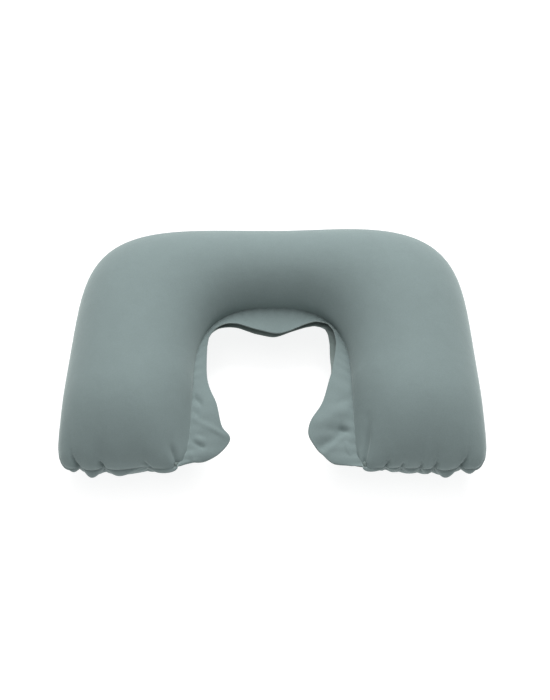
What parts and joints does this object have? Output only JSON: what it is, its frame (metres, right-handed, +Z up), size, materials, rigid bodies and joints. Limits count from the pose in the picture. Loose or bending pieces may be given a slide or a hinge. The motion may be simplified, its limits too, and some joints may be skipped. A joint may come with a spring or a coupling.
{
  "type": "camp pillow",
  "caption": "U-shaped inflatable camp pillow in flocked film, with a loose welded flange round the neck opening and a pop-out plug valve under the back.",
  "frame": {"origin": "middle of the flat rest face on the underside, halfway across both arms and halfway from the arm ends to the back", "axes": "+Z up from the rest face, +X across both arms, +Y towards the back tube, so the neck opening faces -Y"},
  "size_m": [0.384, 0.258, 0.1006],
  "materials": {
    "flocked_film": "fine matt flock on soft vinyl film",
    "flocked_film_underside": "fine matt flock on soft vinyl film, bare vinyl inside",
    "fused_film": "fused vinyl with a pressed grain",
    "valve_vinyl": "soft moulded vinyl, satin and slightly translucent",
    "clear_flap": "thin clear vinyl"
  },
  "bodies": {
    "root": {"top_panel": "flocked_film", "bottom_panel": "flocked_film_underside", "perimeter_weld": "fused_film", "valve_base": "valve_vinyl", "valve_diaphragm": "valve_vinyl"},
    "stem": {"valve_stem": "valve_vinyl"},
    "plug": {"valve_plug": "valve_vinyl", "valve_plug_strap": "valve_vinyl"},
    "flap": {"valve_check_flap": "clear_flap"}
  },
  "joints": [
    {"name": "valve_pop_out", "type": "slide", "parent": "root", "child": "stem", "axis": [0, 0.866, -0.5], "range_m": [0, 0.0115], "deforming": ["valve_diaphragm"]},
    {"name": "plug_flip", "type": "hinge", "parent": "stem", "child": "plug", "pos_m": [-0.0072, 0.11891, 0.0229], "axis": [0, 0.5, 0.866], "range_deg": [0, 130], "deforming": ["valve_plug_strap"]},
    {"name": "check_flap_open", "type": "hinge", "parent": "stem", "child": "flap", "pos_m": [0.0044, 0.10696, 0.0298], "axis": [0, 0.5, 0.866], "range_deg": [0, 65], "stiffness_Nm_per_rad": 0.00002}
  ]
}
